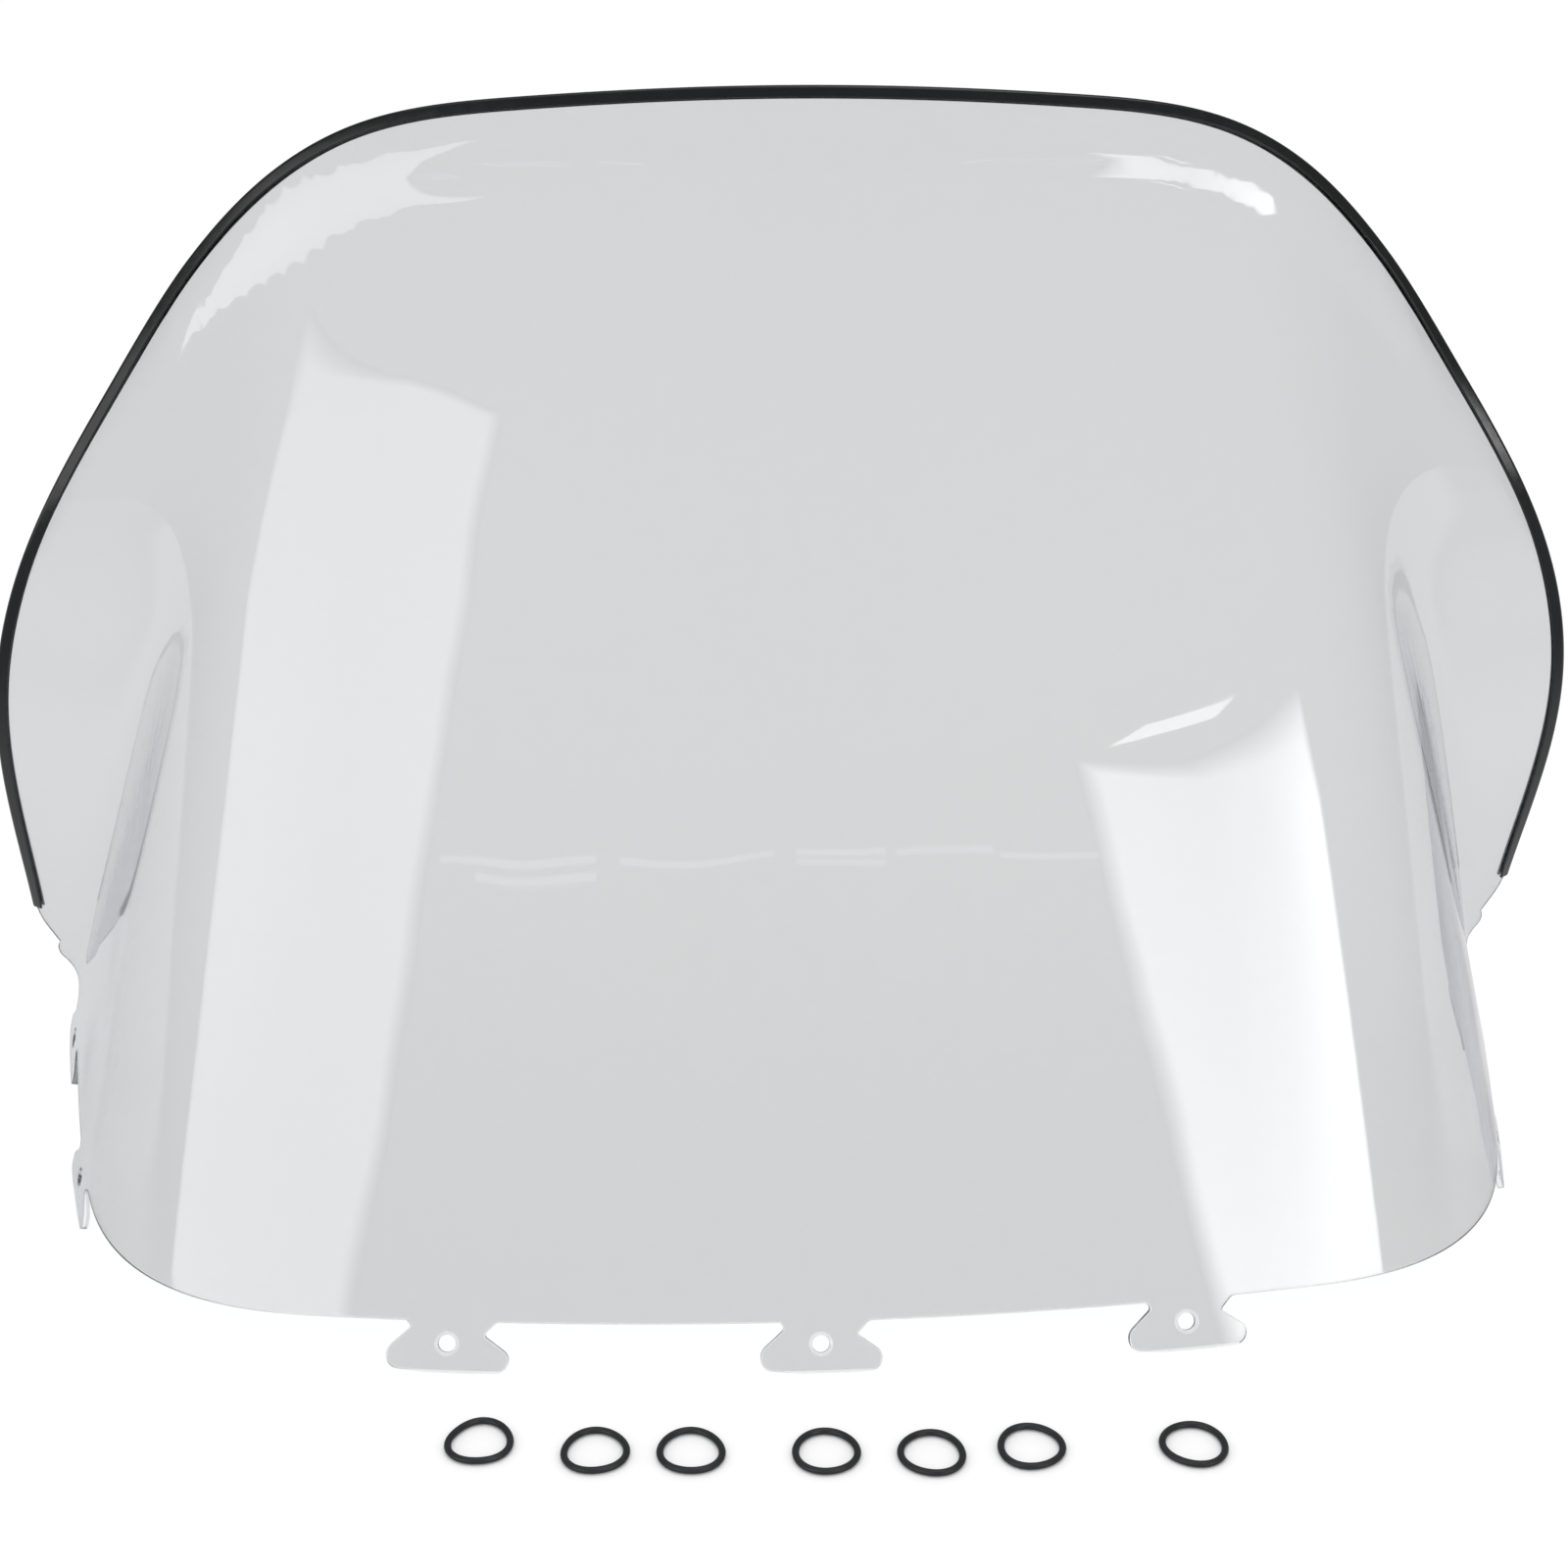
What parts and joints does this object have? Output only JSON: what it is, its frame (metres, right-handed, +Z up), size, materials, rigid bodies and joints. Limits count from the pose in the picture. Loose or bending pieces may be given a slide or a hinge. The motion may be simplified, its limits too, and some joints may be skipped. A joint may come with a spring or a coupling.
{
  "type": "windshield",
  "caption": "Clear wraparound sled windshield with flared side ears and fishtail mounting tabs, black edge trim and loose rubber O-rings for the tabs.",
  "frame": {"origin": "on the surface that the tabs and O-rings stand on, at the middle of the whole set's box", "axes": "+X to the right of a viewer who faces the front of the shield, across the shield; +Y backward, from the front tabs towards the rider; +Z up"},
  "size_m": [0.7279, 0.3556, 0.4809],
  "materials": {
    "clear_sheet": "clear polished sheet with a faint grey tint",
    "trim_rubber": "smooth semi-gloss extrusion",
    "o_ring_rubber": "satin moulded rubber"
  },
  "bodies": {
    "shield": {"windshield": "clear_sheet", "edge_trim": "trim_rubber"},
    "loose_ring_1": {"o_ring_1": "o_ring_rubber"},
    "loose_ring_2": {"o_ring_2": "o_ring_rubber"},
    "loose_ring_3": {"o_ring_3": "o_ring_rubber"},
    "loose_ring_4": {"o_ring_4": "o_ring_rubber"},
    "loose_ring_5": {"o_ring_5": "o_ring_rubber"},
    "loose_ring_6": {"o_ring_6": "o_ring_rubber"},
    "loose_ring_7": {"o_ring_7": "o_ring_rubber"}
  },
  "joints": [
    {"name": "ring_1_lift", "type": "slide", "parent": "shield", "child": "loose_ring_1", "axis": [0, 0, 1], "range_m": [0, 0.12]},
    {"name": "ring_2_lift", "type": "slide", "parent": "shield", "child": "loose_ring_2", "axis": [0, 0, 1], "range_m": [0, 0.12]},
    {"name": "ring_3_lift", "type": "slide", "parent": "shield", "child": "loose_ring_3", "axis": [0, 0, 1], "range_m": [0, 0.12]},
    {"name": "ring_4_lift", "type": "slide", "parent": "shield", "child": "loose_ring_4", "axis": [0, 0, 1], "range_m": [0, 0.12]},
    {"name": "ring_5_lift", "type": "slide", "parent": "shield", "child": "loose_ring_5", "axis": [0, 0, 1], "range_m": [0, 0.12]},
    {"name": "ring_6_lift", "type": "slide", "parent": "shield", "child": "loose_ring_6", "axis": [0, 0, 1], "range_m": [0, 0.12]},
    {"name": "ring_7_lift", "type": "slide", "parent": "shield", "child": "loose_ring_7", "axis": [0, 0, 1], "range_m": [0, 0.12]}
  ]
}
